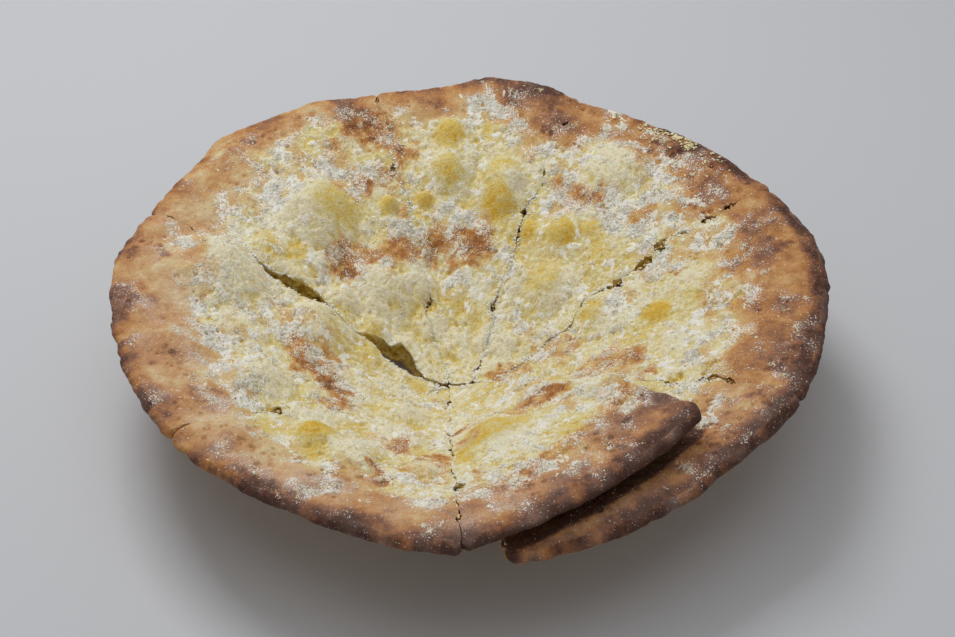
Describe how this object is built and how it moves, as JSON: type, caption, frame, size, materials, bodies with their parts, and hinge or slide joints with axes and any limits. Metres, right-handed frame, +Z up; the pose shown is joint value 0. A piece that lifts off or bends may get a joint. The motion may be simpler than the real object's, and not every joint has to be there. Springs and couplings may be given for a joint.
{
  "type": "flat round cheese bread",
  "caption": "Flat round cheese-topped bread cut into wedges, sagging like a wide shallow bowl, with one wedge riding over its neighbour.",
  "frame": {"origin": "under the middle of the outline, on the plane of the small flat spot that the bread rests on", "axes": "+Z up out of the hollow side, +X to the right and +Y to the back, away from the wedge that rides over its neighbour"},
  "size_m": [0.3087, 0.3054, 0.0726],
  "materials": {
    "bread": "dry baked crust with pale melted cheese"
  },
  "bodies": {
    "root": {"slice_right": "bread", "slice_back_right": "bread", "slice_back": "bread", "slice_back_left": "bread", "slice_left": "bread", "slice_front_left": "bread", "slice_under": "bread", "slice_over": "bread"}
  },
  "joints": []
}
